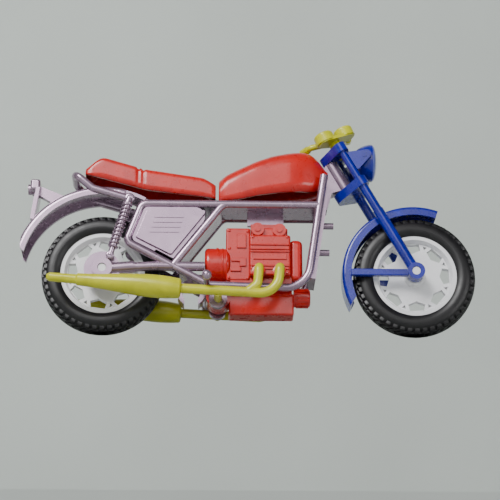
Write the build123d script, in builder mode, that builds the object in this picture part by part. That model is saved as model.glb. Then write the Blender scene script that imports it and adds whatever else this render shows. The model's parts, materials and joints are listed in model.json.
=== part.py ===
"""Snap-together toy motorcycle: two-part tube frame, flat engine, turning wheels and a steering fork.

Frame of the part: +X forward, +Y to the rider's left, +Z up, wheels standing on z = 0,
origin under the middle of the overall box. Lengths in millimetres.
"""

import os
from math import atan2, cos, degrees, hypot, radians, sin

from build123d import *

os.makedirs("parts", exist_ok=True)

# ------------------------------------------------------------------ overall sizes
wheelbase = 74.35
tail_reach = 19.6             # rear axle to the rearmost point of the rear mudguard
tyre_radius = 14.6
frame_y = 4.9                 # centre of the side tubes from the middle plane
exhaust_y = 9.3
peg_reach = 13.2              # middle plane to the end of a foot peg

# ------------------------------------------------------------------ fits
run_fit = 0.08                # radial clearance of a pin that turns in a hole
snap_fit = 0.02               # radial clearance of pieces pushed together for good
face_gap = 0.1                # end clearance between pieces that turn on each other

# ------------------------------------------------------------------ wheels
rim_radius = 10.0
rim_bed_radius = 9.3
rim_lip_radius = 9.1
rim_half_width = 2.1
spoke_half_thickness = 0.8
wheel_hub_radius = 2.1
wheel_hub_half = 2.5
axle_pin_radius = 0.97
front_pin_half = 5.8
rear_pin_half = 6.2
tyre_half_width = 2.95
window_count = 8
window_inner_radius = 6.0
window_outer_radius = 8.5
front_window_turn = 3.0       # degrees that the first window stands off +X
rear_window_turn = -7.0

# ------------------------------------------------------------------ steering head and fork
rake = 29.0                   # steering axis leans back from the vertical
fork_offset = 3.15            # legs ahead of the steering axis
fork_length = 31.5            # front axle to the steering origin, along the axis
leg_y = 4.55
upper_leg_radius = 0.95
middle_leg_radius = 1.1
lower_leg_radius = 1.3
leg_step = -13.5              # station where the sliders begin
axle_boss_radius = 2.05
axle_boss_inner = 3.3
axle_boss_outer = 6.0
stem_radius = 1.0
head_tube_radius = 1.8
head_tube_low = -4.2
head_tube_high = 3.4
yoke_thickness = 2.15
lower_yoke_top = head_tube_low - face_gap
upper_yoke_low = head_tube_high + face_gap

# ------------------------------------------------------------------ handlebar
bar_rake = 24.0               # the bar's pivot leans back a little less than the fork
bar_station = 3.6             # pivot ahead of the steering axis
bar_turn = -72.0              # the bar as stored: turned to the right
bar_pin_radius = 0.87
gauge_radius = 2.45
gauge_spread = 2.8
gauge_ahead = 1.3
bar_radius = 0.75
grip_radius = 0.95

# ------------------------------------------------------------------ tube frame
tube_radius = 0.95
post_radius = 0.9             # slanting seat post
web_thickness = 1.2
gusset_half = 1.9
top_tube_up = 16.7            # above the axle line
peg_radius = 0.75
peg_ball_radius = 1.2
front_stud_radius = 0.8
front_stud_length = 2.4
ring_y = 4.2
ring_radius = 2.15
ring_hole_radius = 0.95
clip_radius = 3.3
clip_bore_radius = 2.2
clip_half_width = 2.0

# ------------------------------------------------------------------ rear end
arm_y = 4.6
arm_radius = 1.15
casing_radius = 1.45
hub_disc_radius = 4.3
hub_ring_radius = 2.4
hub_inner = 3.3
hub_disc_face = 5.3
hub_ring_face = 6.5
shock_y = 6.3
shock_coil_radius = 1.3
shock_core_radius = 0.95
shock_rod_radius = 0.7
shock_top_eye = 1.2
shock_low_eye = 1.0
coil_turns = 11

# ------------------------------------------------------------------ mudguards and grab rail
rail_y = 4.4
rail_radius = 0.95
rear_guard_radius = 21.4      # outside of the guard, set by the frame that carries it
rear_guard_half = 4.5
rear_guard_depth = 2.1
rear_guard_wall = 0.9
tongue_half = 3.4
lamp_half = 2.6
lamp_lens_radius = 1.3
plate_half = 2.8
label_half = 2.4              # raised face on the number plate
front_guard_gap = 2.8
front_guard_half = 3.2
front_guard_depth = 2.2
front_guard_wall = 0.7
guard_peg_radius = 0.6
guard_peg_depth = 1.1         # peg below the outside of the front guard
guard_stay_depth = 2.0        # end of the stay below the outside of the front guard

# ------------------------------------------------------------------ bodywork, engine, exhaust
seat_half = 4.75
shell_wall = 0.9
engine_setback = 39.65        # front axle to the engine's datum
headlamp_radius = 4.6
headlamp_depth = 5.2
headlamp_wall = 0.8
ear_half_gap = 5.05           # middle plane to the middle of a headlamp ear
ear_half_thickness = 0.35
filter_radius = 2.15
filter_length = 4.0
filter_fins = 12
muffler_front_radius = 2.35
muffler_radius = 2.7
tail_pipe_radius = 1.45
pipe_radius = 1.15

# ------------------------------------------------------------------ datums worked out
front_x = (wheelbase + tail_reach - tyre_radius) / 2
rear_x = front_x - wheelbase
engine_x = front_x - engine_setback
axle_z = tyre_radius
front_guard_radius = tyre_radius + front_guard_gap
up_x, up_z = -sin(radians(rake)), cos(radians(rake))
ahead_x, ahead_z = cos(radians(rake)), sin(radians(rake))
steer_x = front_x + fork_length * up_x - fork_offset * ahead_x
steer_z = axle_z + fork_length * up_z - fork_offset * ahead_z


def back(a, c):
    """Side-view point measured from the rear axle."""
    return (rear_x + a, axle_z + c)


def mid(a, c):
    """Side-view point measured from the engine's datum and the axle line."""
    return (engine_x + a, axle_z + c)


def fore(a, c):
    """Side-view point measured from the front axle."""
    return (front_x + a, axle_z + c)


def head(ahead, station):
    """Side-view point measured from the steering origin: ahead of the axis, and up along it."""
    return (steer_x + ahead * ahead_x + station * up_x, steer_z + ahead * ahead_z + station * up_z)


def at(point, y):
    """Put a side-view point into space."""
    return (point[0], y, point[1])


def between(a, b, share):
    """Point on the way from a to b."""
    return tuple(p + share * (q - p) for p, q in zip(a, b))


def side(y=0.0):
    """Sketch plane of the side view at a distance y; its normal points to the right (-Y)."""
    return Plane(origin=(0, y, 0), x_dir=(1, 0, 0), z_dir=(0, -1, 0))


def steer_plane(station):
    """Plane square to the steering axis: local x ahead, local y to the left."""
    x, z = head(0, station)
    return Plane(origin=(x, 0, z), x_dir=(ahead_x, 0, ahead_z), z_dir=(up_x, 0, up_z))


def cross_plane(x):
    """Plane square to +X at x: local x to the left, local y up."""
    return Plane(origin=(x, 0, 0), x_dir=(0, 1, 0), z_dir=(1, 0, 0))


def radial_plane(centre, angle):
    """Plane through a wheel's axle: local x across, local y outward at this angle from +X."""
    c, s = cos(radians(angle)), sin(radians(angle))
    return Plane(origin=at(centre, 0), x_dir=(0, 1, 0), z_dir=(s, 0, -c))


def tube(points, bends, radius):
    """Round bar along straight runs joined by tangent arcs, added to the part being built."""
    with BuildLine() as route:
        FilletPolyline(*points, radius=bends)
    with BuildSketch(Plane(origin=route.line @ 0, z_dir=route.line % 0)) as end:
        Circle(radius)
    sweep(end.sketch, path=route.line)


def rod(start, end, radius, mode=Mode.ADD):
    """Straight round bar between two points in space."""
    run = Vector(*end) - Vector(*start)
    with BuildSketch(Plane(origin=start, z_dir=run)) as face:
        Circle(radius)
    extrude(face.sketch, amount=run.length, mode=mode)


def cross_pin(point, y_from, y_to, radius, mode=Mode.ADD):
    """Round bar along Y at a side-view point."""
    rod(at(point, y_from), at(point, y_to), radius, mode)


def block(low, high, y_near, y_far, edge=0.0):
    """Box between two side-view corners, with its edges rounded."""
    size = (high[0] - low[0], abs(y_far - y_near), high[1] - low[1])
    centre = ((high[0] + low[0]) / 2, (y_near + y_far) / 2, (high[1] + low[1]) / 2)
    body = (Pos(*centre) * Box(*size, mode=Mode.PRIVATE)).solid()
    add(body.fillet(edge, body.edges()) if edge else body)


def strip(start, end, thickness, y_from, y_to, shift=0.0):
    """Flat web along a side-view line, shifted square to it, between two distances y."""
    length = hypot(end[0] - start[0], end[1] - start[1])
    angle = degrees(atan2(end[1] - start[1], end[0] - start[0]))
    nx, nz = -sin(radians(angle)), cos(radians(angle))
    centre = ((start[0] + end[0]) / 2 + shift * nx, (start[1] + end[1]) / 2 + shift * nz)
    with BuildSketch(side(y_from)) as web:
        with Locations(centre):
            Rectangle(length, thickness, rotation=angle)
    extrude(web.sketch, amount=y_from - y_to)


def channel(centre, outer, half, depth, wall, first, last):
    """Mudguard: an upturned channel bent round the wheel from one angle to another."""
    with BuildSketch(radial_plane(centre, first)) as section:
        with Locations((0, outer - depth / 2)):
            Rectangle(2 * half, depth)
        fillet(section.vertices().group_by(Axis.Y)[-1], wall * 1.2)
        with Locations((0, outer - wall - depth / 2)):
            Rectangle(2 * (half - wall), depth, mode=Mode.SUBTRACT)
    revolve(section.sketch, axis=Axis(at(centre, 0), (0, -1, 0)), revolution_arc=last - first)


def write(piece, name):
    """Label a finished piece and save it as its own file."""
    piece.part.label = name
    export_step(piece.part, f"parts/{name}.step")


rear_axle = back(0, 0)
front_axle = fore(0, 0)


# ================================================================== wheels
def tyre(centre):
    """Rubber tyre: round-shouldered, with a rib inside that sits in the rim's bed."""
    bead, rib = rim_radius + snap_fit, rim_bed_radius + snap_fit
    rib_half = rim_half_width - 0.9
    wall = tyre_radius - rim_radius
    crown = (1.5, tyre_radius - 0.076 * wall)
    shoulder = (2.55, tyre_radius - 0.29 * wall)
    with BuildSketch(radial_plane(centre, 90)) as profile:
        with BuildLine():
            Line((0, rib), (rib_half, rib))
            Line((rib_half, rib), (rib_half, bead))
            Line((rib_half, bead), (2.3, bead))
            ThreePointArc((2.3, bead), (tyre_half_width, rim_radius + 0.42 * wall), shoulder)
            ThreePointArc(shoulder, (2.15, tyre_radius - 0.163 * wall), crown)
            ThreePointArc(crown, (0.8, tyre_radius - 0.02 * wall), (0, tyre_radius))
            Line((0, tyre_radius), (0, rib))
        make_face()
        mirror(about=Plane.YZ)
    revolve(profile.sketch, axis=Axis(at(centre, 0), (0, 1, 0)))


def rim(centre, first_window, pin_half):
    """Moulded wheel: dished rim, star disc with eight windows, hub and axle pins in one."""
    with BuildSketch(radial_plane(centre, 90)) as profile:
        with BuildLine():
            Polyline(
                (0, 0),
                (pin_half, 0),
                (pin_half, axle_pin_radius),
                (wheel_hub_half, axle_pin_radius),
                (wheel_hub_half, wheel_hub_radius),
                (spoke_half_thickness, wheel_hub_radius + 0.5),
                (spoke_half_thickness, window_outer_radius),
                (rim_half_width, rim_lip_radius),
                (rim_half_width, rim_radius),
                (rim_half_width - 0.85, rim_radius),
                (rim_half_width - 0.85, rim_bed_radius),
                (0, rim_bed_radius),
                close=True,
            )
        make_face()
        mirror(about=Plane.YZ)
    revolve(profile.sketch, axis=Axis(at(centre, 0), (0, 1, 0)))
    window = [
        (window_inner_radius, 0),
        (window_inner_radius + 0.8, 2.0),
        (window_outer_radius - 0.15, 1.7),
        (window_outer_radius - 0.15, -1.7),
        (window_inner_radius + 0.8, -2.0),
    ]
    gap = [(7.35, 0), (8.2, 0.5), (8.2, -0.5)]
    step = 360 / window_count
    for turn in range(window_count):
        for outline, half_step in ((window, 0), (gap, 0.5)):
            angle = first_window + (turn + half_step) * step
            spot = Plane(origin=at(centre, 0), x_dir=(cos(radians(angle)), 0, sin(radians(angle))),
                         z_dir=(0, -1, 0))
            with BuildSketch(spot) as opening:
                with BuildLine():
                    Polyline(*outline, close=True)
                make_face()
            extrude(opening.sketch, amount=2 * spoke_half_thickness, both=True, mode=Mode.SUBTRACT)


with BuildPart() as front_tyre:
    tyre(front_axle)
write(front_tyre, "front_tyre")

with BuildPart() as rear_tyre:
    tyre(rear_axle)
write(rear_tyre, "rear_tyre")

with BuildPart() as front_rim:
    rim(front_axle, front_window_turn, front_pin_half)
write(front_rim, "front_rim")

with BuildPart() as rear_rim:
    rim(rear_axle, rear_window_turn, rear_pin_half)
write(rear_rim, "rear_rim")

# ================================================================== tube frame
loop_top = back(9.15, top_tube_up)
loop_low = back(5.55, 7.0)
seat_post_top = back(28.55, top_tube_up)
seat_post_low = back(16.75, 1.15)
keel_rear = back(25.25, -3.7)
keel_front = mid(13.7, -4.4)
head_foot = mid(18.1, 24.4)
top_front = mid(16.9, top_tube_up)
keel_middle = between(keel_rear, keel_front, 0.5)
arm_joint = back(12.1, 0.95)
barrel_rear = mid(-10.5, 2.4)
ring_centre = mid(-7.3, -7.15)
peg_centre = mid(-10.0, -3.7)
clip_centre = back(21.1, -4.7)
hanger_low = 12.9             # underside of the engine hanger above the axle line
web_ahead = 1.7               # front face of the down-tube web ahead of the tube's centre
stud_heights = (13.15, 6.3)   # the two front studs above the axle line


def down_tube_x(c):
    """Centre of the down tube at a height above the axle line."""
    share = (axle_z + c - keel_front[1]) / (head_foot[1] - keel_front[1])
    return between(keel_front, head_foot, share)[0]


with BuildPart() as bare_half:
    right = -frame_y
    tube(
        [at(p, right) for p in (top_front, loop_top, loop_low, keel_rear, keel_middle)],
        [2.0, 1.5, 2.0],
        tube_radius,
    )
    tube([at(p, right) for p in (keel_middle, keel_front, head_foot)], [6.0], tube_radius)
    post_start = between(seat_post_top, top_front, 0.25)
    tube([at(p, right) for p in (post_start, seat_post_top, seat_post_low)], [3.0], post_radius)
    # webs that tie the side tubes to the middle plane
    strip(loop_top, top_front, web_thickness, 0, right)
    strip(between(seat_post_top, seat_post_low, 0.06), between(seat_post_top, seat_post_low, 0.9),
          web_thickness, 0, right)
    strip(between(keel_front, head_foot, 0.1), between(keel_front, head_foot, 0.86),
          web_ahead + 0.2, 0, right + 0.5, -(web_ahead - 0.2) / 2)
    lower_rail = (loop_low, keel_rear)
    strip(between(*lower_rail, 0.66), between(*lower_rail, 0.94), web_thickness, 0, right)
    # gusset and half of the steering head
    with BuildSketch(side()):
        with BuildLine():
            Polyline(top_front, mid(18.9, top_tube_up), head(-3.75, -3.6), head(-1.4, -4.1),
                     head(-1.4, 3.3), mid(17.4, 26.0), close=True)
        make_face()
    extrude(amount=gusset_half)
    with BuildSketch(steer_plane(head_tube_low)):
        Circle(head_tube_radius)
    extrude(amount=head_tube_high - head_tube_low)
    with BuildSketch(steer_plane(head_tube_low - 1)):
        Circle(stem_radius + run_fit)
    extrude(amount=head_tube_high - head_tube_low + 2, mode=Mode.SUBTRACT)
    # engine hanger under the top web
    block(mid(-0.3, hanger_low), mid(8.4, top_tube_up), 0, -0.6)
    # front end of the swinging arm
    rod(at(arm_joint, -arm_y), (barrel_rear[0], -arm_y, arm_joint[1]), arm_radius)
    # foot peg with a ball end
    cross_pin(peg_centre, right, -(peg_reach - peg_ball_radius), peg_radius)
    with Locations(at(peg_centre, -(peg_reach - peg_ball_radius))):
        Sphere(peg_ball_radius)
    # exhaust ring hung from the keel tube
    block((ring_centre[0] - 0.9, ring_centre[1]), (ring_centre[0] + 0.9, keel_rear[1]),
          -ring_y + 0.8, -ring_y - 0.8)
    cross_pin(ring_centre, -ring_y + 0.8, -ring_y - 0.8, ring_radius)
    cross_pin(ring_centre, 0.5, -ring_y - 2, ring_hole_radius, Mode.SUBTRACT)
    # half of the spring clip for a stand
    cross_pin(clip_centre, 0, -clip_half_width, clip_radius)
    cross_pin(clip_centre, 0.5, -clip_half_width - 0.5, clip_bore_radius, Mode.SUBTRACT)
    mouth, mouth_depth = clip_bore_radius * 0.75, clip_radius + 1
    with BuildSketch(side()):
        with Locations((clip_centre[0], clip_centre[1] - mouth_depth / 2)):
            Rectangle(2 * mouth, mouth_depth)
    extrude(amount=clip_half_width + 0.5, mode=Mode.SUBTRACT)
    split(bisect_by=side(), keep=Keep.TOP)

stud_seats = [(down_tube_x(c) + 0.6, axle_z + c) for c in stud_heights]

with BuildPart() as frame_half_right:
    add(bare_half.part)
    for x, z in stud_seats:
        rod((x, 0, z), (x + web_ahead - 0.6 + front_stud_length, 0, z), front_stud_radius)
write(frame_half_right, "frame_half_right")

with BuildPart() as frame_half_left:
    mirror(bare_half.part, about=Plane.XZ)
    for x, z in stud_seats:
        rod((x - snap_fit, 0, z), (x + 3, 0, z), front_stud_radius + snap_fit, Mode.SUBTRACT)
write(frame_half_left, "frame_half_left")

# ================================================================== side covers
louvre_count, louvre_length, louvre_width, louvre_proud = 4, 7.0, 0.5, 0.18
panel = (loop_top, loop_low, seat_post_low, seat_post_top)
flange_back, flange_face, pad_face = frame_y - 0.4, frame_y + 0.4, frame_y + 1.0

with BuildPart() as side_cover_right:
    with BuildSketch(side(-flange_back)) as base:
        with BuildLine():
            Polyline(*panel, close=True)
        make_face()
        offset(amount=-(tube_radius + snap_fit), kind=Kind.INTERSECTION)
        fillet(base.vertices().group_by(Axis.Y)[-1].sort_by(Axis.X)[-1], 2.4)
        fillet(base.vertices().sort_by(Axis.X)[:2], 1.2)
    extrude(amount=flange_face - flange_back)
    with BuildSketch(side(-flange_face)) as pad:
        with BuildLine():
            Polyline(*panel, close=True)
        make_face()
        offset(amount=-(tube_radius + 0.75), kind=Kind.INTERSECTION)
        fillet(pad.vertices(), 0.7)
    extrude(amount=pad_face - flange_face, taper=20)
    # open slot between the raised pad and the lower rail
    slot_from, slot_to = between(loop_low, keel_rear, 0.32), between(loop_low, keel_rear, 0.54)
    with BuildSketch(side(0)):
        with Locations(between(slot_from, slot_to, 0.5)):
            fall = degrees(atan2(slot_to[1] - slot_from[1], slot_to[0] - slot_from[0]))
            Rectangle(hypot(slot_to[0] - slot_from[0], slot_to[1] - slot_from[1]), 3.2, rotation=fall)
    extrude(amount=flange_face, mode=Mode.SUBTRACT)
    # plain louvres
    for row in range(louvre_count):
        with BuildSketch(side(-pad_face)):
            with Locations(back(14.6 + 0.35 * row, 9.3 + 1.25 * row)):
                SlotOverall(louvre_length, louvre_width)
        extrude(amount=louvre_proud)
write(side_cover_right, "side_cover_right")

with BuildPart() as side_cover_left:
    mirror(side_cover_right.part, about=Plane.XZ)
write(side_cover_left, "side_cover_left")

# ================================================================== swinging arm and hub carriers
casing_end = back(7.35, 0.65)

with BuildPart() as swingarm_right:
    cross_pin(rear_axle, -hub_inner, -hub_disc_face, hub_disc_radius)
    cross_pin(rear_axle, -hub_disc_face, -hub_ring_face, hub_ring_radius)
    rod(at(rear_axle, -hub_inner - casing_radius), at(casing_end, -hub_inner - casing_radius),
        casing_radius)
    rod(at(casing_end, -arm_y), at(arm_joint, -arm_y), arm_radius)
    rod(at((casing_end[0] - 0.3, casing_end[1]), -arm_y - 0.1),
        at((casing_end[0] + 0.3, casing_end[1]), -arm_y - 0.1), casing_radius - 0.12)
    cross_pin(rear_axle, 0, -hub_ring_face - 1, axle_pin_radius + run_fit, Mode.SUBTRACT)
write(swingarm_right, "swingarm_right")

with BuildPart() as swingarm_left:
    mirror(swingarm_right.part, about=Plane.XZ)
write(swingarm_left, "swingarm_left")

# ================================================================== shock absorbers
shock_top, shock_low = back(6.2, 17.5), back(1.85, 3.0)
shock_length = hypot(shock_top[0] - shock_low[0], shock_top[1] - shock_low[1])
coil_start, coil_end = 2.6, shock_length - 1.8
pitch = (coil_end - coil_start) / coil_turns

with BuildPart() as shock_absorber_right:
    foot = at(shock_low, -shock_y)
    rise = Vector(*at(shock_top, -shock_y)) - Vector(*foot)
    axis_plane = Plane(origin=foot, x_dir=(0, -1, 0), z_dir=Vector(0, -1, 0).cross(rise))
    profile = [(0, 0), (shock_rod_radius, 0), (shock_rod_radius, coil_start)]
    for turn in range(coil_turns):
        low = coil_start + turn * pitch
        profile += [(shock_core_radius, low), (shock_coil_radius, low + 0.3 * pitch),
                    (shock_coil_radius, low + 0.7 * pitch)]
    profile += [(shock_core_radius, coil_end), (shock_core_radius, shock_length), (0, shock_length)]
    with BuildSketch(axis_plane):
        with BuildLine():
            Polyline(*profile, close=True)
        make_face()
    revolve(axis=Axis(foot, rise))
    cross_pin(shock_top, -rail_y - rail_radius, -shock_y - 0.6, shock_top_eye)
    cross_pin(shock_low, -hub_disc_face, -shock_y - 0.6, shock_low_eye)
write(shock_absorber_right, "shock_absorber_right")

with BuildPart() as shock_absorber_left:
    mirror(shock_absorber_right.part, about=Plane.XZ)
write(shock_absorber_left, "shock_absorber_left")

# ================================================================== rear mudguard and its grab rail
rail_points = (back(7.0, rear_guard_radius - 3.6), back(-2.75, rear_guard_radius - 0.7),
               back(-7.05, rear_guard_radius + 3.0))

with BuildPart() as rear_mudguard:
    channel(rear_axle, rear_guard_radius, rear_guard_half, rear_guard_depth, rear_guard_wall, 76, 173)
    with BuildSketch(side(-10)):
        with BuildLine():
            Polyline(back(-tail_reach, 12), back(-tail_reach, 5.4), back(-16.2, 2.2), back(-18, -6),
                     back(-27, -6), back(-27, 12), close=True)
        make_face()
    extrude(amount=-20, mode=Mode.SUBTRACT)
    # narrow tongue into the frame, standing on the top web
    with BuildSketch(radial_plane(rear_axle, 62)):
        with Locations((0, rear_guard_radius - 0.5)):
            Rectangle(2 * tongue_half, 0.8)
    revolve(axis=Axis(at(rear_axle, 0), (0, -1, 0)), revolution_arc=16)
    foot_top = rear_guard_radius * sin(radians(63)) - 0.5
    block(back(9.3, top_tube_up + web_thickness / 2), back(10.4, foot_top), -3.0, 3.0)
    near = [at(p, -rail_y) for p in rail_points]
    far = [at(p, rail_y) for p in reversed(rail_points)]
    tube(near + far, [3.0, 1.8, 1.8, 3.0], rail_radius)
write(rear_mudguard, "rear_mudguard")

# ================================================================== tail lamp and number plate bracket
with BuildPart() as tail_lamp_bracket:
    with BuildSketch(side(-0.9)):
        with BuildLine():
            Polyline(back(-16.0, 22.6), back(-9.8, 20.0), back(-10.6, 17.0), back(-16.0, 20.3), close=True)
        make_face()
    extrude(amount=-1.8)
    block(back(-17.9, 21.0), back(-15.5, 23.8), -lamp_half, lamp_half, 0.6)
    with BuildSketch(cross_plane(rear_x - 18.5)):
        with Locations((0, axle_z + 21.9)):
            Circle(lamp_lens_radius)
    extrude(amount=1.5)
    plate = (back(-16.0, 21.6), back(-17.2, 13.4))
    strip(*plate, 0.9, plate_half, -plate_half)
    strip(between(*plate, 0.2), between(*plate, 0.93), 1.1, label_half, -label_half)
    cross_pin(rear_axle, -5, 5, rear_guard_radius + snap_fit, Mode.SUBTRACT)
write(tail_lamp_bracket, "tail_lamp_bracket")

# ================================================================== seat
seat_outline = (
    back(-4.65, 25.8), back(-0.85, 29.3), back(9.95, 26.0), back(24.35, 23.9), back(26.85, 22.3),
    back(26.85, 18.25), back(23.85, 18.8), back(10.45, 20.3), back(4.15, 22.0), back(-4.65, 24.4),
)
seat_front = back(26.85, 0)[0]

with BuildPart() as seat:
    with BuildSketch(side(seat_half)) as seat_side:
        with BuildLine():
            Polyline(*seat_outline, close=True)
        make_face()
        fillet(seat_side.vertices().sort_by(Axis.Y)[-1], 1.5)
        fillet(seat_side.vertices().group_by(Axis.X)[-1].sort_by(Axis.Y)[-1], 1.0)
    extrude(amount=2 * seat_half)
    top_edges = seat.edges().filter_by(
        lambda e: abs(abs(e.center().Y) - seat_half) < 0.01 and (e @ 0.5).Z > axle_z + 24.0
        and abs((e % 0.5).X) > 0.3
    )
    fillet(top_edges, 0.9)
    with BuildSketch(side(seat_half - shell_wall)):
        with BuildLine():
            Polyline(*seat_outline, close=True)
        make_face()
        offset(amount=-shell_wall, kind=Kind.INTERSECTION)
    extrude(amount=2 * (seat_half - shell_wall), mode=Mode.SUBTRACT)
    with BuildSketch(side(seat_half - shell_wall)):
        with BuildLine():
            Polyline(*[(x, z - 1.6) for x, z in seat_outline], close=True)
        make_face()
        offset(amount=-shell_wall, kind=Kind.INTERSECTION)
    extrude(amount=2 * (seat_half - shell_wall), mode=Mode.SUBTRACT)
    # ribs inside that stand on the frame's top web and on the mudguard's crown
    block(back(25.4, top_tube_up + web_thickness / 2), back(26.4, 22.0), -2.5, 2.5)
    block(back(2.4, rear_guard_radius - 2), back(3.4, 27.4), -3.0, 3.0)
    cross_pin(rear_axle, -5, 5, rear_guard_radius + snap_fit, Mode.SUBTRACT)
write(seat, "seat")

# ================================================================== tank
tank_gap = 0.6                # between the seat's front and the tank
tank_rear = seat_front + tank_gap
tube_top = axle_z + top_tube_up + tube_radius
# share of the way to the nose, foot and crown above the tube top, half width
tank_stations = (
    (0.0, 0.7, 6.4, frame_y - 0.3),
    (0.1, snap_fit, 8.4, frame_y + 0.3),
    (0.34, 1.5, 11.4, frame_y + 0.7),
    (0.6, 2.5, 13.5, frame_y + 0.7),
    (0.81, 2.8, 13.8, frame_y),
    (0.93, 3.9, 12.7, 3.6),
    (1.0, 7.2, 10.3, 2.6),
)
tank_nose = head(-1.9, 0.0)[0] - 0.35


def arch(foot, crown, half):
    """Cross-section of the tank: upright sides and a round back."""
    bend = 0.62 * half
    with BuildLine() as outline:
        Polyline((-half, foot), (half, foot), (half, crown - bend))
        ThreePointArc((half, crown - bend), (half - 0.3 * bend, crown - 0.3 * bend),
                      (half - bend, crown))
        Line((half - bend, crown), (bend - half, crown))
        ThreePointArc((bend - half, crown), (0.3 * bend - half, crown - 0.3 * bend),
                      (-half, crown - bend))
        Line((-half, crown - bend), (-half, foot))
    make_face(outline.edges())


with BuildPart() as tank:
    for share, foot, crown, half in tank_stations:
        with BuildSketch(cross_plane(tank_rear + share * (tank_nose - tank_rear))):
            arch(tube_top + foot, tube_top + crown, half)
    loft()
    inner_rear, inner_nose = tank_rear + shell_wall, tank_nose - shell_wall
    for share, foot, crown, half in tank_stations:
        with BuildSketch(cross_plane(inner_rear + share * (inner_nose - inner_rear))):
            arch(tube_top + foot - 1.2, tube_top + crown - shell_wall, half - shell_wall)
    loft(mode=Mode.SUBTRACT)
    # slot in the nose round the steering head
    with BuildSketch(steer_plane(-8)):
        Circle(head_tube_radius + 0.5)
        with Locations((2.5, 0)):
            Rectangle(5, 2 * head_tube_radius + 1)
    extrude(amount=20, mode=Mode.SUBTRACT)
    # room for the upper yoke as it turns
    with BuildSketch(steer_plane(head_tube_high - 0.3)):
        with Locations((5 - stem_radius - 0.95, 0)):
            Rectangle(10, 20)
    extrude(amount=10, mode=Mode.SUBTRACT)
    with BuildSketch(side(gusset_half + 0.4)):
        with BuildLine():
            Polyline(mid(15.5, 15), mid(25, 15), mid(25, 28.6), mid(15.5, 28.6), close=True)
        make_face()
    extrude(amount=2 * gusset_half + 0.8, mode=Mode.SUBTRACT)
write(tank, "tank")

# ================================================================== engine
barrel_z = axle_z + 2.4
barrel_radius = 4.5
head_face = 5.0
rib_proud = 0.35
rib_heights = (6.5, 5.4, 4.75, 1.2, 0.4)
cap_centres = (mid(2.1, 10.8), mid(7.3, 10.6))
cap_radius = 1.56
keel_clear = 3.4

with BuildPart() as engine_half_right:
    barrel_low, barrel_high = mid(-10.45, 0)[0], mid(-4.4, 0)[0]
    with BuildSketch(cross_plane(barrel_low)):
        with Locations((0, barrel_z)):
            Circle(barrel_radius)
    extrude(amount=barrel_high - barrel_low)
    fillet(engine_half_right.edges().filter_by(GeomType.CIRCLE), 0.9)
    with BuildSketch(cross_plane(barrel_low + 2.7)):
        with Locations((0, barrel_z)):
            Circle(barrel_radius + 0.2)
    extrude(amount=0.6)
    block(mid(-5.4, -2.1), mid(0.4, 11.2), 0.5, -3.6, 0.45)
    block(mid(0.1, -1.2), mid(9.9, 9.0), 0.5, -head_face, 0.5)
    block(mid(0.5, 8.4), mid(9.3, 11.4), 0.5, -3.2, 0.4)
    block(mid(0.5, 11.0), mid(8.0, hanger_low), 0.5, -1.5)
    block(mid(9.6, -2.1), mid(12.8, 8.3), 0.5, -3.8, 1.2)
    # raised covers on the gearbox
    block(mid(-2.8, 6.0), mid(-0.6, 9.6), -3.4, -4.0, 0.15)
    block(mid(-4.2, 2.6), mid(-0.6, 3.5), -3.4, -4.0, 0.15)
    block(mid(-2.2, 1.4), mid(-0.6, 2.9), -3.4, -4.0, 0.15)
    block(mid(-4.4, 0.1), mid(-1.8, 1.2), -3.4, -4.0, 0.15)
    # cooling ribs and the flat panel on the cylinder head
    for c in rib_heights:
        block(mid(0.4, c - 0.2), mid(9.6, c + 0.2), -head_face + 0.2, -head_face - rib_proud, 0.12)
    block(mid(1.0, 2.7), mid(9.0, 4.2), -head_face + 0.2, -head_face - 0.3, 0.12)
    for centre in cap_centres:
        cross_pin(centre, 0.5, -4.2, cap_radius)
        cross_pin(centre, -4.1, -4.5, 0.7)
    # neck between the keel tubes, sump and the round foot of the crankcase
    block(mid(-4.4, -5.6), mid(10.2, -1.0), 0.5, -keel_clear)
    block(mid(-4.7, -10.3), mid(10.7, -4.9), 0.5, -2.6, 0.5)
    cross_pin(mid(-7.1, -5.6), 0.5, -2.6, 3.0)
    split(bisect_by=side(), keep=Keep.TOP)
write(engine_half_right, "engine_half_right")

with BuildPart() as engine_half_left:
    mirror(engine_half_right.part, about=Plane.XZ)
write(engine_half_left, "engine_half_left")

filter_x, filter_z = mid(10.7, -5.3)
fin_centre = filter_radius - 0.05
with BuildPart() as oil_filter:
    with BuildSketch(cross_plane(filter_x)):
        with Locations((0, filter_z)):
            Circle(filter_radius)
    extrude(amount=filter_length)
    fillet(oil_filter.edges().filter_by(GeomType.CIRCLE).sort_by(Axis.X)[-1], 0.6)
    for fin in range(filter_fins):
        angle = radians(360 / filter_fins * fin)
        fin_y, fin_z = fin_centre * cos(angle), filter_z + fin_centre * sin(angle)
        with BuildSketch(cross_plane(filter_x + 0.6)):
            with Locations((fin_y, fin_z)):
                Rectangle(0.5, 0.5, rotation=degrees(angle))
        extrude(amount=filter_length - 1.1)
write(oil_filter, "oil_filter")

# ================================================================== exhausts
port_z = axle_z - 0.4
muffler_front = mid(-16.0, -6.2)
muffler_end = back(-12.7, -3.5)
tail_run = 7.3

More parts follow.
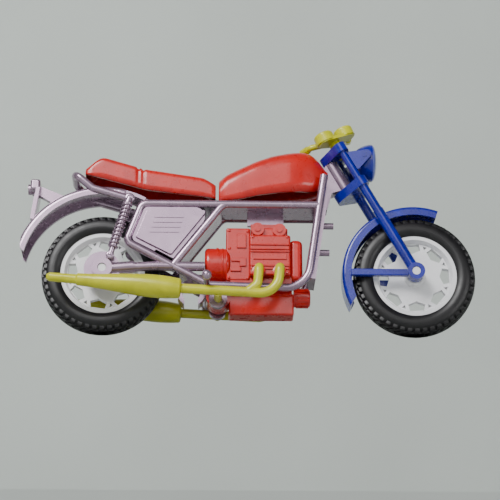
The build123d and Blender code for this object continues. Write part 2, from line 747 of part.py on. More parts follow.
with BuildPart() as exhaust_right:
    flow = at(muffler_front, -exhaust_y)
    collector = between(muffler_front, muffler_end, 0.03)
    headers = (
        (7.2, mid(6.5, -7.25), collector, 4.4, pipe_radius),
        (2.3, mid(1.9, -5.0), mid(-1.0, -7.15), 1.8, pipe_radius - 0.05),
    )
    for port_x, knee, meet, bend, radius in headers:
        port = (engine_x + port_x, port_z)
        tube([at(port, -head_face - rib_proud), at(port, -exhaust_y), at(knee, -exhaust_y),
              at(meet, -exhaust_y)], [1.3, bend], radius)
    run = Vector(*at(muffler_end, -exhaust_y)) - Vector(*flow)
    length = run.length
    axis_plane = Plane(origin=flow, x_dir=(0, -1, 0), z_dir=Vector(0, -1, 0).cross(run))
    with BuildSketch(axis_plane):
        with BuildLine():
            Line((0, 0), (muffler_front_radius - 0.7, 0))
            ThreePointArc((muffler_front_radius - 0.7, 0), (muffler_front_radius - 0.2, 0.2),
                          (muffler_front_radius, 0.7))
            Spline((muffler_front_radius, 0.7), (muffler_radius, 5.0), (2.2, 14.4),
                   (tail_pipe_radius, length - tail_run))
            Polyline((tail_pipe_radius, length - tail_run), (pipe_radius, length - tail_run + 0.4),
                     (pipe_radius - 0.1, length - 0.7), (0.6, length), (0, length), (0, 0))
        make_face()
    revolve(axis=Axis(flow, run))
    cross_pin(ring_centre, -exhaust_y, -ring_y + 0.6, ring_hole_radius - snap_fit)
write(exhaust_right, "exhaust_right")

with BuildPart() as exhaust_left:
    mirror(exhaust_right.part, about=Plane.XZ)
write(exhaust_left, "exhaust_left")

# ================================================================== fork
upper_yoke_high = upper_yoke_low + yoke_thickness
lower_yoke_low = lower_yoke_top - yoke_thickness
leg_top = upper_yoke_high + 0.15
axle_station = -fork_length
guard_peg = head(fork_offset, axle_station + front_guard_radius - guard_peg_depth)


def leg_piece(low, high, radius, mode=Mode.ADD):
    """Round length of the right fork leg between two stations on the steering axis."""
    rod(at(head(fork_offset, low), -leg_y), at(head(fork_offset, high), -leg_y), radius, mode)


with BuildPart() as fork_leg_right:
    leg_piece(axle_station + 1, leg_step, lower_leg_radius)
    leg_piece(leg_step, lower_yoke_top, middle_leg_radius)
    leg_piece(lower_yoke_top, leg_top, upper_leg_radius)
    cross_pin(front_axle, -axle_boss_inner, -axle_boss_outer, axle_boss_radius)
    stay_end = front_guard_radius - guard_stay_depth
    block(fore(-stay_end, -0.85), fore(-1.4, 0.75), -front_guard_half - 0.2, -leg_y - 0.3, 0.2)
    cross_pin(front_axle, 0, -axle_boss_outer - 1, axle_pin_radius + run_fit, Mode.SUBTRACT)
    cross_pin(guard_peg, 0, -leg_y, guard_peg_radius + snap_fit, Mode.SUBTRACT)
write(fork_leg_right, "fork_leg_right")

with BuildPart() as fork_leg_left:
    mirror(fork_leg_right.part, about=Plane.XZ)
write(fork_leg_left, "fork_leg_left")


def bar_point(forward, left, height):
    """Point given in the bar's own directions, in the turn it is stored in."""
    turn, lean = radians(bar_turn), radians(bar_rake)
    f = forward * cos(turn) - left * sin(turn)
    y = forward * sin(turn) + left * cos(turn)
    x, z = head(bar_station, upper_yoke_high)
    return (x + f * cos(lean) - height * sin(lean), y, z + f * sin(lean) + height * cos(lean))


bar_axis = Vector(-sin(radians(bar_rake)), 0, cos(radians(bar_rake)))
bar_forward = Vector(*bar_point(1, 0, 0)) - Vector(*bar_point(0, 0, 0))


def bar_plane(height):
    """Plane square to the bar's pivot: local x to the bar's front, local y to its left."""
    return Plane(origin=bar_point(0, 0, height), x_dir=bar_forward, z_dir=bar_axis)


with BuildPart() as upper_yoke:
    with BuildSketch(steer_plane(upper_yoke_low)):
        with Locations((fork_offset, leg_y), (fork_offset, -leg_y)):
            Circle(upper_leg_radius + 0.65)
        Circle(stem_radius + 0.7)
        with Locations((bar_station, 0)):
            Circle(bar_pin_radius + 1.0)
        make_hull()
        with Locations((fork_offset, leg_y), (fork_offset, -leg_y)):
            Circle(upper_leg_radius + snap_fit, mode=Mode.SUBTRACT)
        Circle(stem_radius + snap_fit, mode=Mode.SUBTRACT)
    extrude(amount=yoke_thickness)
    rod(bar_point(0, 0, -4), bar_point(0, 0, 2), bar_pin_radius + run_fit, Mode.SUBTRACT)
write(upper_yoke, "upper_yoke")

with BuildPart() as lower_yoke:
    with BuildSketch(steer_plane(lower_yoke_low)):
        with Locations((fork_offset, leg_y), (fork_offset, -leg_y)):
            Circle(middle_leg_radius + 0.6)
        with Locations((-0.8, 0)):
            Circle(2.5)
        make_hull()
        with Locations((fork_offset, leg_y), (fork_offset, -leg_y)):
            Circle(middle_leg_radius + snap_fit, mode=Mode.SUBTRACT)
    extrude(amount=yoke_thickness)
    with BuildSketch(steer_plane(lower_yoke_top)):
        Circle(stem_radius)
    extrude(amount=upper_yoke_high - lower_yoke_top)
write(lower_yoke, "lower_yoke")

with BuildPart() as front_mudguard:
    channel(front_axle, front_guard_radius, front_guard_half, front_guard_depth, front_guard_wall, 70, 208)
    with BuildSketch(side(-10)):
        with BuildLine():
            Polyline(fore(-13.0, -3.4), fore(-15.9, -8.6), fore(-16, -12), fore(-9, -12),
                     fore(-9, -3.4), close=True)
        make_face()
    extrude(amount=-20, mode=Mode.SUBTRACT)
    for y in (-1, 1):
        cross_pin(guard_peg, y * (front_guard_half - 0.3), y * (leg_y - 0.3), guard_peg_radius)
write(front_mudguard, "front_mudguard")

# ================================================================== headlamp
lamp_x, lamp_z = head(7.2, 0.14)
lamp_rim = lamp_x + 2.2


def lamp_profile(depth, radius):
    """Quarter of an ellipse behind the lamp's rim plane."""
    with Locations((lamp_rim, lamp_z)):
        Ellipse(depth, radius)


with BuildPart() as headlamp_bowl:
    with BuildSketch(side()):
        lamp_profile(headlamp_depth, headlamp_radius)
        with Locations((lamp_rim, lamp_z)):
            Ellipse(headlamp_depth - headlamp_wall, headlamp_radius - headlamp_wall, mode=Mode.SUBTRACT)
        with Locations((lamp_rim - 5, lamp_z + 5)):
            Rectangle(10, 10, mode=Mode.INTERSECT)
    revolve(axis=Axis((lamp_rim, 0, lamp_z), (1, 0, 0)))
    for y in (-1, 1):
        with BuildSketch(side(y * ear_half_gap)):
            with Locations(head(8.0, 0.2)):
                Circle(1.05)
            with Locations(head(4.3, 2.3), head(4.3, -1.9)):
                Circle(0.4)
            make_hull()
        extrude(amount=ear_half_thickness, both=True)
        rod(at(head(fork_offset, -4), y * leg_y), at(head(fork_offset, 4), y * leg_y),
            upper_leg_radius + snap_fit, Mode.SUBTRACT)
        cross_pin((lamp_x, lamp_z), y * 3.9, y * 4.8, 0.9)
        cross_pin((lamp_x, lamp_z), y * 5.3, y * 5.55, 0.45)
write(headlamp_bowl, "headlamp_bowl")

with BuildPart() as headlamp_glass:
    with BuildSketch(side()):
        with Locations((lamp_rim, lamp_z)):
            Ellipse(1.2, headlamp_radius - 0.1)
        with Locations((lamp_rim + 5, lamp_z + 5)):
            Rectangle(10, 10, mode=Mode.INTERSECT)
    revolve(axis=Axis((lamp_rim, 0, lamp_z), (1, 0, 0)))
    rod((lamp_rim - 0.5, 0, lamp_z), (lamp_rim + 0.3, 0, lamp_z), headlamp_radius - headlamp_wall - 0.1)
write(headlamp_glass, "headlamp_glass")

# ================================================================== handlebar with gauges
shoulder, plate_low, plate_high, gauge_top = 0.25, 2.2, 3.0, 4.9
bar_half = ((-0.6, 2.0, 2.9), (-2.0, 5.4, 3.6), (-4.9, 6.6, 3.95))

with BuildPart() as handlebar:
    rod(bar_point(0, 0, -2.1), bar_point(0, 0, plate_low), bar_pin_radius)
    rod(bar_point(0, 0, shoulder), bar_point(0, 0, plate_low), 1.5)
    with BuildSketch(bar_plane(plate_low)):
        with Locations((gauge_ahead, gauge_spread), (gauge_ahead, -gauge_spread)):
            Circle(gauge_radius - 0.3)
        Circle(1.8)
        make_hull()
    extrude(amount=plate_high - plate_low)
    with BuildSketch(bar_plane(plate_high - 0.5)):
        with Locations((gauge_ahead, gauge_spread), (gauge_ahead, -gauge_spread)):
            Circle(gauge_radius)
    extrude(amount=gauge_top - plate_high + 0.5)
    rims = handlebar.edges().filter_by(GeomType.CIRCLE).filter_by(
        lambda e: abs(e.radius - gauge_radius) < 0.01).sort_by(Axis(bar_point(0, 0, 0), bar_axis))[-2:]
    fillet(rims, 0.6)
    left_half = [bar_point(*p) for p in reversed(bar_half)]
    right_half = [bar_point(f, -l, h) for f, l, h in bar_half]
    tube(left_half + right_half, [1.2, 1.0, 1.0, 1.2], bar_radius)
    for outer, inner in ((left_half[0], left_half[1]), (right_half[-1], right_half[-2])):
        rod(outer, between(outer, inner, 0.65), grip_radius)
write(handlebar, "handlebar")
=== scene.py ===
import json
from math import cos, pi, radians, sin

import bmesh
import bpy
import numpy as np
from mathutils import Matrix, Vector


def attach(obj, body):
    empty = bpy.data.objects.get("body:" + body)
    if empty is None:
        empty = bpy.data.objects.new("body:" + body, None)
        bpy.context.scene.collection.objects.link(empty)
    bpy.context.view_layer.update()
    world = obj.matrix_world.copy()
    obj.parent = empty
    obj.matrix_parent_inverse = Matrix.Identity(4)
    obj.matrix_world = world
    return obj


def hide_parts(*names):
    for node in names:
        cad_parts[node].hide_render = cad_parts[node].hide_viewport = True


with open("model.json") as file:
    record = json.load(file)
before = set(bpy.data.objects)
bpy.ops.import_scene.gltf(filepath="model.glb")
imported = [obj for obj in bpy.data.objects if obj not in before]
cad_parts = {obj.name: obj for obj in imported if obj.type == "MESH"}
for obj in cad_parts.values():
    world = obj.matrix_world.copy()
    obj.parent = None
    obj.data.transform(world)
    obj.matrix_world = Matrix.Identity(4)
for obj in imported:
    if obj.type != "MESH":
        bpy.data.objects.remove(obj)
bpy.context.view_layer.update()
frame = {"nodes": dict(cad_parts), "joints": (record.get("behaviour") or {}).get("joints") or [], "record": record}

MM = 0.001
scene = bpy.context.scene
nodes = frame["nodes"]
joints = {j["name"]: j for j in frame["joints"]}
front_axle = np.array(joints["front_spin"]["pos_m"]) / MM
rear_axle = np.array(joints["rear_spin"]["pos_m"]) / MM


# ------------------------------------------------------------------ materials
class Shader:
    """A Principled material being wired up; positions come from Object coordinates in metres."""

    def __init__(self, name):
        self.material = bpy.data.materials.new(name)
        self.material.use_nodes = True
        self.tree = self.material.node_tree
        self.surface = self.tree.nodes["Principled BSDF"]
        self.where = self.new("ShaderNodeTexCoord").outputs["Object"]

    def new(self, kind, **settings):
        node = self.tree.nodes.new(kind)
        for key, value in settings.items():
            setattr(node, key, value)
        return node

    def link(self, source, target):
        self.tree.links.new(source, target)

    def noise(self, size_mm, detail=3.0, roughness=0.5, distortion=0.0):
        node = self.new("ShaderNodeTexNoise")
        node.inputs["Scale"].default_value = 1.0 / (size_mm * MM)
        node.inputs["Detail"].default_value = detail
        node.inputs["Roughness"].default_value = roughness
        node.inputs["Distortion"].default_value = distortion
        self.link(self.where, node.inputs["Vector"])
        return node.outputs["Fac"]

    def ramp(self, source, stops):
        node = self.new("ShaderNodeValToRGB")
        edge = node.color_ramp.elements
        while len(edge) < len(stops):
            edge.new(0.5)
        for element, (place, colour) in zip(edge, stops):
            element.position = place
            element.color = (*colour, 1.0)
        self.link(source, node.inputs["Fac"])
        return node.outputs["Color"]

    def spread(self, source, low, high):
        node = self.new("ShaderNodeMapRange")
        node.inputs["From Min"].default_value = 0.3
        node.inputs["From Max"].default_value = 0.7
        node.inputs["To Min"].default_value = low
        node.inputs["To Max"].default_value = high
        self.link(source, node.inputs["Value"])
        return node.outputs["Result"]

    def bump(self, source, height_mm, strength):
        node = self.new("ShaderNodeBump")
        node.inputs["Strength"].default_value = strength
        node.inputs["Distance"].default_value = height_mm * MM
        self.link(source, node.inputs["Height"])
        self.link(node.outputs["Normal"], self.surface.inputs["Normal"])


def moulded(name, dark, mid, light, rough, sheen=0.0, metallic=0.0, scatter=0.0):
    """Injection-moulded plastic: flow marks in the colour, a fine orange peel and handling marks."""
    s = Shader(name)
    flow = s.noise(7.0, detail=4.0, distortion=1.2)
    s.link(s.ramp(flow, [(0.30, dark), (0.52, mid), (0.75, light)]), s.surface.inputs["Base Color"])
    s.link(s.spread(s.noise(1.6, detail=5.0), rough - 0.03, rough + 0.05), s.surface.inputs["Roughness"])
    s.bump(s.noise(0.6, detail=3.0), 0.012, 0.10)
    s.surface.inputs["Metallic"].default_value = metallic
    s.surface.inputs["Coat Weight"].default_value = sheen
    s.surface.inputs["Coat Roughness"].default_value = 0.18
    if scatter:
        s.surface.inputs["Subsurface Weight"].default_value = scatter
        s.surface.inputs["Subsurface Scale"].default_value = 1.0 * MM
    return s.material


silver = moulded("silver_plastic", (0.31, 0.215, 0.30), (0.35, 0.245, 0.335), (0.39, 0.28, 0.375), 0.24,
                 sheen=0.6, metallic=0.7)
blue = moulded("blue_plastic", (0.000, 0.002, 0.20), (0.000, 0.004, 0.27), (0.002, 0.008, 0.34), 0.26,
               sheen=0.5)
red = moulded("red_plastic", (0.46, 0.006, 0.004), (0.54, 0.009, 0.005), (0.60, 0.013, 0.007), 0.28,
              sheen=0.3)
lime = moulded("lime_plastic", (0.46, 0.45, 0.004), (0.55, 0.535, 0.008), (0.61, 0.59, 0.016), 0.30,
               sheen=0.3)
white = moulded("white_plastic", (0.74, 0.73, 0.75), (0.80, 0.79, 0.81), (0.84, 0.83, 0.85), 0.36, sheen=0.2)
pearl = moulded("lens_plastic", (0.05, 0.08, 0.42), (0.10, 0.13, 0.50), (0.18, 0.21, 0.60), 0.12, sheen=0.9)
rubber = moulded("tyre_rubber", (0.0025, 0.002, 0.003), (0.004, 0.003, 0.0045), (0.008, 0.006, 0.008), 0.40)

finish_of = {"silver_plastic": silver, "blue_plastic": blue, "red_plastic": red, "lime_plastic": lime,
             "white_plastic": white, "lens": pearl, "tyre": rubber}
slot_of = {p["node"]: p["material_slot"] for p in frame["record"]["subparts"]}


def paint(obj, material):
    obj.data.materials.clear()
    obj.data.materials.append(material)


for name, obj in nodes.items():
    paint(obj, finish_of[slot_of[name]])


# ------------------------------------------------------------------ mesh helpers, in millimetres
def piece(name, points, faces, body, slot, stands_for=()):
    """A new piece that rides on a CAD body and takes the finish of a record slot."""
    mesh = bpy.data.meshes.new(name)
    mesh.from_pydata([tuple(float(c) * MM for c in p) for p in points], [], [tuple(f) for f in faces])
    mesh.validate()
    skin = bmesh.new()
    skin.from_mesh(mesh)
    bmesh.ops.recalc_face_normals(skin, faces=skin.faces)
    skin.to_mesh(mesh)
    skin.free()
    mesh.update()
    obj = bpy.data.objects.new(name, mesh)
    scene.collection.objects.link(obj)
    for polygon in mesh.polygons:
        polygon.use_smooth = True
    paint(obj, finish_of[slot])
    if stands_for:
        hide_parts(*stands_for)
    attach(obj, body)
    return obj


def grid(rows, capped=True):
    """Points and faces of a skin over closed rows of equal length, with its ends closed if capped."""
    rows = [np.asarray(r, float) for r in rows]
    n = len(rows[0])
    points = np.vstack(rows)
    faces = []
    for i in range(len(rows) - 1):
        for j in range(n):
            k = (j + 1) % n
            faces.append((i * n + j, i * n + k, (i + 1) * n + k, (i + 1) * n + j))
    if capped:
        faces.append(tuple(range(n - 1, -1, -1)))
        faces.append(tuple(range((len(rows) - 1) * n, len(rows) * n)))
    return points, faces


def closed_ring(rows):
    """Skin over rows that come back to the first one."""
    points, faces = grid(rows + rows[:1], capped=False)
    last = len(rows) * len(rows[0])
    return points[:last], [tuple(i if i < last else i - last for i in f) for f in faces]


def join(*shapes):
    """Several (points, faces) as one."""
    points, faces, offset = [], [], 0
    for p, f in shapes:
        points.append(np.asarray(p, float))
        faces += [tuple(i + offset for i in face) for face in f]
        offset += len(p)
    return np.vstack(points), faces


def frame_along(path):
    """Unit side and top vectors square to a path, turning as little as they can."""
    path = np.asarray(path, float)
    ahead = np.gradient(path, axis=0)
    ahead /= np.linalg.norm(ahead, axis=1)[:, None]
    side = np.cross((0.0, 1.0, 0.0), ahead[0])
    if np.linalg.norm(side) < 1e-3:
        side = np.cross((1.0, 0.0, 0.0), ahead[0])
    sides, tops = [], []
    for a in ahead:
        side = side - a * np.dot(side, a)
        side = side / np.linalg.norm(side)
        sides.append(side)
        tops.append(np.cross(a, side))
    return np.array(sides), np.array(tops)


def pipe(path, radii, around=16):
    """Round skin along a path."""
    path = np.asarray(path, float)
    radii = np.broadcast_to(radii, len(path))
    sides, tops = frame_along(path)
    rows = []
    for p, s, t, r in zip(path, sides, tops, radii):
        rows.append([p + r * (cos(2 * pi * k / around) * s + sin(2 * pi * k / around) * t)
                     for k in range(around)])
    return grid(rows)


def spun(profile, start, direction, around=32):
    """Skin of revolution: (radius, distance) along a direction from a start point."""
    direction = np.asarray(direction, float)
    direction /= np.linalg.norm(direction)
    path = [np.asarray(start, float) + d * direction for _, d in profile]
    helper = np.array((0.0, 1.0, 0.0)) if abs(direction[1]) < 0.9 else np.array((1.0, 0.0, 0.0))
    s = np.cross(helper, direction)
    s /= np.linalg.norm(s)
    t = np.cross(direction, s)
    rows = []
    for (r, _), p in zip(profile, path):
        rows.append([p + r * (cos(2 * pi * k / around) * s + sin(2 * pi * k / around) * t)
                     for k in range(around)])
    return grid(rows)


def mirrored(shape):
    """The same piece on the other side of the middle plane."""
    points = np.array(shape[0], float)
    points[:, 1] *= -1
    return points, [f[::-1] for f in shape[1]]


# ------------------------------------------------------------------ tyres with a moulded tread
TYRE_RADIUS = 14.6
TREAD_DEPTH = 0.5
TREAD_PITCHES = 48


def tyre_skin():
    """Closed cross-section of the casing: points (across, radius)."""
    outer = [(2.10, 10.04), (2.34, 10.10), (2.60, 10.45), (2.80, 10.9), (2.92, 11.3), (2.95, 11.65),
             (2.94, 11.75), (2.95, 11.95), (2.90, 12.3), (2.78, 12.8), (2.60, 13.2), (2.35, 13.5),
             (2.00, 13.75), (1.50, 13.95), (0.80, 14.08), (0.0, TYRE_RADIUS - TREAD_DEPTH)]
    inner = [(1.2, 10.04), (1.2, 9.34), (0.0, 9.34)]
    right_half = inner[::-1] + outer
    left_half = [(-w, r) for w, r in reversed(right_half[1:-1])]
    return right_half + left_half


def ring_of(profile, centre, around=144):
    """Skin of a closed (across, radius) profile swept round the wheel's axle."""
    rows = []
    for k in range(around):
        a = 2 * pi * k / around
        rows.append([(centre[0] + r * cos(a), w, centre[2] + r * sin(a)) for w, r in profile])
    return closed_ring(rows)


def tread_block(across, angle_span, radius_low, radius_high, skew, width):
    """One tread block about the top of a wheel: a small bent slab with sloping flanks."""
    rows = []
    for r, grow in ((radius_low, 0.0), (radius_high - 0.08, -0.02), (radius_high, -0.09)):
        ring = []
        for u, v in ((-1, -1), (-0.33, -1), (0.33, -1), (1, -1), (1, 1), (0.33, 1), (-0.33, 1), (-1, 1)):
            w = across + u * (width / 2 + grow)
            a = (v * (angle_span / 2 + grow / radius_high) + skew * (w - across)) + pi / 2
            drop = 0.062 * abs(w) ** 2.35
            ring.append(((r - drop) * cos(a), w, (r - drop) * sin(a)))
        rows.append(ring)
    return grid(rows)


def around_axle(name, shape, count, material):
    """Copies a small piece round the Y axis with Geometry Nodes and returns it as a plain mesh."""
    mesh = bpy.data.meshes.new(name + "_unit")
    mesh.from_pydata([tuple(float(c) * MM for c in p) for p in shape[0]], [], [tuple(f) for f in shape[1]])
    unit = bpy.data.objects.new(name + "_unit", mesh)
    scene.collection.objects.link(unit)
    group = bpy.data.node_groups.new(name + "_array", "GeometryNodeTree")
    face = group.interface
    face.new_socket("Geometry", in_out="INPUT", socket_type="NodeSocketGeometry")
    count_in = face.new_socket("Count", in_out="INPUT", socket_type="NodeSocketInt")
    count_in.default_value = count
    unit_in = face.new_socket("Unit", in_out="INPUT", socket_type="NodeSocketObject")
    face.new_socket("Geometry", in_out="OUTPUT", socket_type="NodeSocketGeometry")
    new = group.nodes.new
    given, out = new("NodeGroupInput"), new("NodeGroupOutput")
    points, index = new("GeometryNodePoints"), new("GeometryNodeInputIndex")
    share, turn, vector = new("ShaderNodeMath"), new("ShaderNodeMath"), new("ShaderNodeCombineXYZ")
    info, copies = new("GeometryNodeObjectInfo"), new("GeometryNodeInstanceOnPoints")
    real, coat = new("GeometryNodeRealizeInstances"), new("GeometryNodeSetMaterial")
    share.operation, turn.operation = "DIVIDE", "MULTIPLY"
    turn.inputs[1].default_value = 2 * pi
    coat.inputs["Material"].default_value = material
    link = group.links.new
    link(given.outputs["Count"], points.inputs["Count"])
    link(index.outputs[0], share.inputs[0])
    link(given.outputs["Count"], share.inputs[1])
    link(share.outputs[0], turn.inputs[0])
    link(turn.outputs[0], vector.inputs["Y"])
    link(given.outputs["Unit"], info.inputs["Object"])
    link(points.outputs[0], copies.inputs["Points"])
    link(info.outputs["Geometry"], copies.inputs["Instance"])
    link(vector.outputs[0], copies.inputs["Rotation"])
    link(copies.outputs["Instances"], real.inputs[0])
    link(real.outputs[0], coat.inputs["Geometry"])
    link(coat.outputs[0], out.inputs[0])
    host = bpy.data.objects.new(name, bpy.data.meshes.new(name + "_host"))
    scene.collection.objects.link(host)
    modifier = host.modifiers.new("array", "NODES")
    modifier.node_group = group
    modifier[count_in.identifier] = count
    modifier[unit_in.identifier] = unit
    bpy.context.view_layer.update()
    made = bpy.data.meshes.new_from_object(host.evaluated_get(bpy.context.evaluated_depsgraph_get()))
    bpy.data.objects.remove(host)
    bpy.data.objects.remove(unit)
    points = [tuple(c / MM for c in v.co) for v in made.vertices]
    faces = [tuple(p.vertices) for p in made.polygons]
    return np.array(points), faces


def treaded_tyre(name, axle, body, node):
    pitch = 2 * pi / TREAD_PITCHES
    top, foot = TYRE_RADIUS - 0.005, TYRE_RADIUS - TREAD_DEPTH - 0.35
    unit = join(
        tread_block(0.0, pitch * 0.74, foot, top, 0.10, 0.95),
        tread_block(1.18, pitch * 0.66, foot, top, 0.12, 0.95),
        tread_block(-1.18, pitch * 0.66, foot, top, -0.12, 0.95),
        tread_block(2.22, pitch * 0.60, foot - 0.1, top, 0.05, 0.62),
        tread_block(-2.22, pitch * 0.60, foot - 0.1, top, -0.05, 0.62),
    )
    blocks = around_axle(name + "_tread", unit, TREAD_PITCHES, rubber)
    blocks = (blocks[0] + np.array([axle[0], 0, axle[2]]), blocks[1])
    casing = ring_of(tyre_skin(), axle)
    obj = piece(name, *join(casing, blocks), body, "tyre", stands_for=(node,))
    obj.data.set_sharp_from_angle(angle=radians(38))
    return obj


treaded_tyre("front_tyre_treaded", front_axle, "front_wheel", "front_tyre")
treaded_tyre("rear_tyre_treaded", rear_axle, "rear_wheel", "rear_tyre")


# ------------------------------------------------------------------ shock absorbers with a wound coil
SHOCK_TOP, SHOCK_LOW, SHOCK_Y = rear_axle + (6.2, 0, 17.5), rear_axle + (1.85, 0, 3.0), -6.3
COIL_TURNS, COIL_RADIUS, WIRE = 10.5, 1.0, 0.29


def shock():
    low, top = SHOCK_LOW + (0, SHOCK_Y, 0), SHOCK_TOP + (0, SHOCK_Y, 0)
    axis = (top - low) / np.linalg.norm(top - low)
    length = np.linalg.norm(top - low)
    side_v, other = np.array((0.0, 1.0, 0.0)), np.cross(axis, (0.0, 1.0, 0.0))
    turns = np.linspace(0, COIL_TURNS, int(COIL_TURNS * 22))
    first, last = 2.7, length - 1.9
    coil = [low + axis * (first + (last - first) * t / COIL_TURNS)
            + COIL_RADIUS * (cos(2 * pi * t) * side_v + sin(2 * pi * t) * other) for t in turns]
    damper = [(0.7, 0.0), (0.7, 2.0), (1.18, 2.05), (1.25, 2.15), (1.25, 2.5), (0.9, 2.6), (0.84, 5.5),
              (0.84, length - 2.0), (1.2, length - 1.9), (1.24, length - 1.8), (1.24, length - 1.45),
              (1.0, length - 1.3), (0.9, length)]
    shapes = [pipe(coil, WIRE, 10), spun(damper, low, axis, 28)]
    for place, radius, inner in ((top, 1.19, 5.36), (low, 1.0, 5.31)):
        reach = 6.89 - inner
        eye = [(radius - 0.1, 0.0), (radius, 0.1), (radius, reach - 0.18), (radius - 0.18, reach - 0.02),
               (radius * 0.55, reach), (radius * 0.5, reach - 0.25), (0.05, reach - 0.25)]
        shapes.append(spun(eye, (place[0], -inner, place[2]), (0, -1, 0), 28))
    return join(*shapes)


for name, shape, node in (("shock_coil_right", shock(), "shock_absorber_right"),
                          ("shock_coil_left", mirrored(shock()), "shock_absorber_left")):
    obj = piece(name, *shape, "frame", "silver_plastic", stands_for=(node,))
    obj.data.set_sharp_from_angle(angle=radians(40))


# ------------------------------------------------------------------ seat and tank as rounded shells
SHELL_WALL = 0.9
SEAT_CORNER, TANK_CORNER = 1.5, 3.9
TANK_LEAN = 0.35


def smooth_line(knots, places):
    """Heights between knots, eased so that the line has no corners."""
    x, y = np.array(knots, float).T
    straight = np.interp(places, x, y)
    reach = 0.9
    return (np.interp(places - reach, x, y) + np.interp(places + reach, x, y) + 2 * straight) / 4


def shell(places, top, bottom, half, wall, corner, taper):
    """Open-bottomed shell along X: rounded crown, nearly upright sides, even wall."""
    def ring(k, inset):
        crown, foot, width = top[k] - inset, bottom[k], half[k] - inset
        r = min(corner, width * 0.98, max(0.2, (crown - foot) * 0.9))
        out = []
        for s in (-1, 1):
            arc = []
            for q in np.linspace(0, 1, 9):
                a = q * pi / 2
                arc.append((s * (width - r + r * cos(a) ** 0.9), crown - r + r * sin(a) ** 0.9))
            lean = taper * np.clip((crown - foot) / 8.0, 0, 1)
            upright = [(s * (width - lean * (1 - q)), foot + q * (crown - r - foot))
                       for q in (0.0, 0.35, 0.7)]
            out.append(upright + arc)
        flat = [(y, out[1][-1][1]) for y in np.linspace(1, -1, 9)[1:-1] * out[1][-1][0]]
        return out[1] + flat + out[0][::-1]

    outer = [[(places[k], y, z) for y, z in ring(k, 0.0)] for k in range(len(places))]
    keep = [k for k in range(len(places)) if places[0] + wall <= places[k] <= places[-1] - wall]
    inner = [[(places[k], y, z) for y, z in ring(k, wall)] for k in keep]
    n = len(outer[0])
    points = np.vstack([np.array(r) for r in outer + inner])
    faces, base = [], len(outer) * n
    for i in range(len(outer) - 1):
        for j in range(n - 1):
            faces.append((i * n + j, i * n + j + 1, (i + 1) * n + j + 1, (i + 1) * n + j))
    for i in range(len(inner) - 1):
        for j in range(n - 1):
            k = base + i * n + j
            faces.append((k, k + n, k + n + 1, k + 1))
    faces.append(tuple(range(n - 1, -1, -1)))
    faces.append(tuple((len(outer) - 1) * n + j for j in range(n)))
    faces.append(tuple(base + j for j in range(n)))
    faces.append(tuple(base + (len(inner) - 1) * n + j for j in range(n - 1, -1, -1)))
    for edge, flip in ((0, False), (n - 1, True)):
        loop = [i * n + edge for i in range(len(outer))]
        loop += [base + i * n + edge for i in range(len(inner) - 1, -1, -1)]
        faces.append(tuple(loop[::-1] if flip else loop))
    return points, faces


def rear(a, c):
    return rear_axle[0] + a, rear_axle[2] + c


seat_top = [rear(-4.6, 25.9), rear(-1.2, 28.9), rear(-0.2, 29.0), rear(9.95, 26.0), rear(24.0, 23.9),
            rear(26.75, 22.0)]
seat_foot = [rear(-4.6, 24.5), rear(4.15, 22.1), rear(10.45, 20.4), rear(23.85, 18.9),
             rear(26.75, 18.35)]
seat_x = np.linspace(rear(-4.6, 0)[0], rear(26.75, 0)[0], 96)
seat_crown = smooth_line(seat_top, seat_x)
strap = [rear(8.1, 0)[0], rear(9.3, 0)[0]]
for line in strap:
    seat_crown = seat_crown - 0.42 * np.exp(-((seat_x - line) / 0.33) ** 2)
seat_edge = np.clip((seat_x - seat_x[0]) / 1.4, 0, 1) * np.clip((seat_x[-1] - seat_x) / 0.8, 0, 1)
seat_half = 4.25 + 0.48 * np.sqrt(seat_edge)
for line in strap:
    seat_half = seat_half - 0.22 * np.exp(-((seat_x - line) / 0.33) ** 2)
piece("seat_cushion",
      *shell(seat_x, seat_crown, smooth_line(seat_foot, seat_x), seat_half, SHELL_WALL, SEAT_CORNER, 0.0),
      "frame", "red_plastic", stands_for=("seat",))

tank_x0, tank_x1 = rear(27.5, 0)[0], 19.2
tank_x = np.linspace(tank_x0, tank_x1, 96)
tank_top = [(tank_x0, 37.9), (-6.1, 39.4), (-2, 41.5), (2, 43.4), (5.9, 44.8), (10, 45.6), (13.6, 46.05),
            (15.9, 45.4), (17.4, 43.7), (18.4, 42.2), (tank_x1, 41.2)]
tank_foot = [(tank_x0, 32.5), (-5.1, 32.5), (-2, 32.8), (2, 33.8), (5.9, 34.3), (9.9, 34.9), (14.5, 34.9),
             (16.9, 35.5), (17.7, 36.2), (18.4, 38.3), (tank_x1, 39.6)]
tank_plan = [(tank_x0, 4.6), (-6.2, 5.2), (-3, 5.45), (2, 5.6), (10, 5.6), (13, 5.2), (15.5, 4.4),
             (17.3, 3.4), (18.5, 2.7), (tank_x1, 2.2)]
piece("tank_shell", *shell(tank_x, smooth_line(tank_top, tank_x), smooth_line(tank_foot, tank_x),
                           smooth_line(tank_plan, tank_x), SHELL_WALL, TANK_CORNER, TANK_LEAN),
      "frame", "red_plastic", stands_for=("tank",))


# ------------------------------------------------------------------ small moulded details on the engine
ENGINE_SETBACK = 39.65
engine_x = front_axle[0] - ENGINE_SETBACK
HEAD_FACE, CASE_FACE = -5.0, -3.6


def bolt_head(x, y, z, radius, height):
    """Domed head standing on a face that looks to the right."""
    profile = [(radius, -0.15), (radius, height * 0.35), (radius * 0.8, height * 0.8),
               (radius * 0.4, height), (0.02, height)]
    return spun(profile, (engine_x + x, y, z), (0, -1, 0), 14)


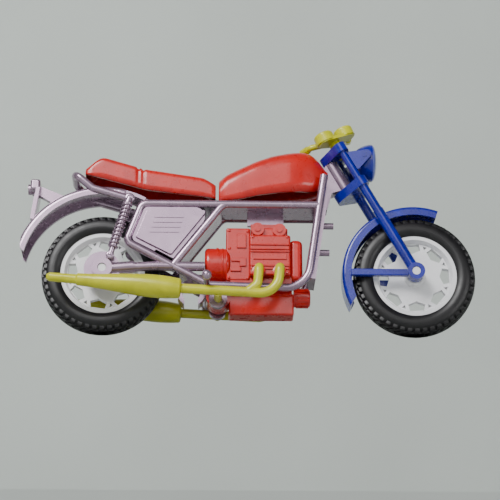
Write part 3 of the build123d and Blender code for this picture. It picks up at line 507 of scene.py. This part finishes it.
def hoop(x, z, radius, thickness):
    """Round bead about the engine's long axis."""
    turns = np.linspace(0, 2 * pi, 49)[:-1]
    rows = []
    for a in turns:
        out = np.array((0, cos(a), sin(a)))
        rows.append([np.array((engine_x + x, 0, z)) + out * (radius + thickness * cos(b))
                     + np.array((thickness * sin(b), 0, 0)) for b in np.linspace(0, 2 * pi, 11)[:-1]])
    return closed_ring(rows)


bolts = [bolt_head(x, HEAD_FACE - 0.02, z, 0.34, 0.24) for x in (0.95, 9.1) for z in (23.0, 14.0)]
case_bolts = ((-4.7, 25.1), (-0.3, 24.9), (-4.7, 13.2), (-0.2, 13.1), (-4.6, 20.6))
bolts += [bolt_head(x, CASE_FACE - 0.02, z, 0.36, 0.26) for x, z in case_bolts]
collars = [spun([(1.2, 0.0), (1.62, 0.0), (1.66, 0.15), (1.62, 0.5), (1.2, 0.62)],
                (engine_x + x, -4.95, front_axle[2] - 0.4), (0, -1, 0), 28) for x in (2.3, 7.2)]
right_trim = join(*bolts, *collars)
for name, shape in (("engine_trim_right", right_trim), ("engine_trim_left", mirrored(right_trim))):
    piece(name, *shape, "frame", "red_plastic").data.set_sharp_from_angle(angle=radians(50))
rings = join(hoop(-9.4, 17.0, 4.32, 0.22), hoop(-6.2, 17.0, 4.45, 0.2), hoop(-5.2, 17.0, 4.45, 0.2))
piece("clutch_rings", *rings, "frame", "red_plastic")


# ------------------------------------------------------------------ camera, light and surroundings
CAMERA_DISTANCE = 0.480
target = Vector((0.4, 0.0, 21.5)) * MM
azimuth, elevation = radians(-1.5), radians(-20.0)
away = Vector((sin(azimuth) * cos(elevation), -cos(azimuth) * cos(elevation), sin(elevation)))
camera_data = bpy.data.cameras.new("camera")
camera_data.lens = 144.0
camera_data.clip_start, camera_data.clip_end = 0.01, 10.0
camera = bpy.data.objects.new("camera", camera_data)
camera.location = target + CAMERA_DISTANCE * away
camera.rotation_euler = (-away).to_track_quat("-Z", "Y").to_euler()
scene.collection.objects.link(camera)
scene.camera = camera


def one_sided(name, colour):
    """Matt paint seen only from the face side, so that nothing hides the object from behind."""
    s = Shader(name)
    tone = s.ramp(s.noise(60.0, detail=2.0), [(0.3, tuple(0.94 * c for c in colour)), (0.7, colour)])
    s.link(tone, s.surface.inputs["Base Color"])
    s.surface.inputs["Roughness"].default_value = 0.85
    clear, mix = s.new("ShaderNodeBsdfTransparent"), s.new("ShaderNodeMixShader")
    where = s.new("ShaderNodeNewGeometry")
    out = s.tree.nodes["Material Output"]
    s.link(where.outputs["Backfacing"], mix.inputs["Fac"])
    s.link(s.surface.outputs[0], mix.inputs[1])
    s.link(clear.outputs[0], mix.inputs[2])
    s.link(mix.outputs[0], out.inputs["Surface"])
    return s.material


def sheet(name, corners, colour):
    mesh = bpy.data.meshes.new(name)
    mesh.from_pydata([tuple(c) for c in corners], [], [(0, 1, 2, 3)])
    mesh.update()
    obj = bpy.data.objects.new(name, mesh)
    scene.collection.objects.link(obj)
    obj.data.materials.append(one_sided(name + "_paint", colour))
    return obj


PALE = (0.56, 0.60, 0.57)
WIDE, TALL, BEHIND = 1.2, 1.0, 0.16
sheet("floor", [(-WIDE, -WIDE, 0), (WIDE, -WIDE, 0), (WIDE, WIDE, 0), (-WIDE, WIDE, 0)], PALE)
upright = [(-WIDE, BEHIND, -TALL), (WIDE, BEHIND, -TALL), (WIDE, BEHIND, TALL), (-WIDE, BEHIND, TALL)]
sheet("backdrop", upright, PALE)


def softbox(name, place, aim, size, power):
    data = bpy.data.lights.new(name, "AREA")
    data.shape, data.size, data.energy = "SQUARE", size, power
    obj = bpy.data.objects.new(name, data)
    obj.location = Vector(place)
    obj.rotation_euler = (Vector(aim) - Vector(place)).to_track_quat("-Z", "Y").to_euler()
    scene.collection.objects.link(obj)


softbox("key", (-0.22, -0.40, 0.34), (0, 0, 0.02), 0.24, 3.3)
softbox("front", (-0.04, -0.60, 0.235), (0, 0, 0.02), 0.30, 0.7)
softbox("low", (0.34, -0.40, 0.05), (0, 0, 0.02), 0.16, 0.6)
softbox("rim", (0.12, 0.34, 0.42), (0, 0, 0.03), 0.20, 1.6)

world = bpy.data.worlds.new("studio")
scene.world = world
world.use_nodes = True
world.node_tree.nodes["Background"].inputs["Color"].default_value = (0.86, 0.93, 0.92, 1.0)
world.node_tree.nodes["Background"].inputs["Strength"].default_value = 0.16
